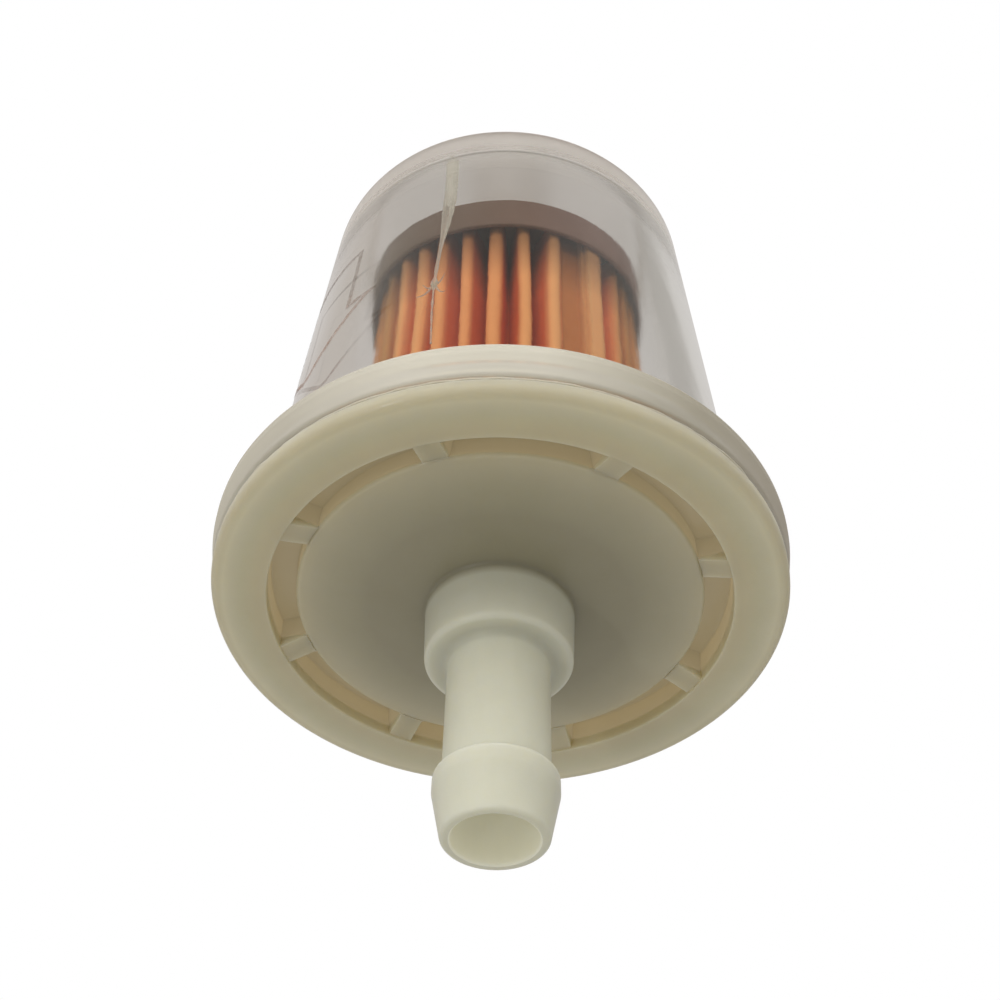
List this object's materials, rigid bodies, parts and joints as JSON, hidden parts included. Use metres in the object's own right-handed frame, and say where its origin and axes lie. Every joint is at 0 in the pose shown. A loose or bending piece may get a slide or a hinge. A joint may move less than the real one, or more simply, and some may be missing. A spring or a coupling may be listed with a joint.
{
  "type": "fuel filter",
  "caption": "Inline engine fuel filter: clear flanged bowl over a pleated paper element, cream cap, and a barbed hose nipple at each end.",
  "frame": {"origin": "centre of the outlet nipple's mouth", "axes": "+Z along the filter's axis from the outlet to the inlet; -Y is the front, with the paper's side seam on the front's right and the flow arrow on its left"},
  "size_m": [0.04, 0.04, 0.0753],
  "materials": {
    "clear_nylon": "clear, slightly hazy, smooth",
    "cream_nylon": "translucent satin",
    "weld_melt": "translucent satin",
    "filter_paper": "resin-treated, matt",
    "clear_adhesive": "glossy, nearly clear",
    "cap_board": "matt grey",
    "potting": "satin, cloudy"
  },
  "bodies": {
    "root": {"bowl": "clear_nylon", "base_cap": "cream_nylon", "weld_bead": "weld_melt", "pleated_paper": "filter_paper", "paper_side_seam": "clear_adhesive", "element_top_cap": "cap_board", "top_cap_adhesive": "potting", "base_adhesive": "potting", "adhesive_strand": "clear_adhesive"}
  },
  "joints": []
}
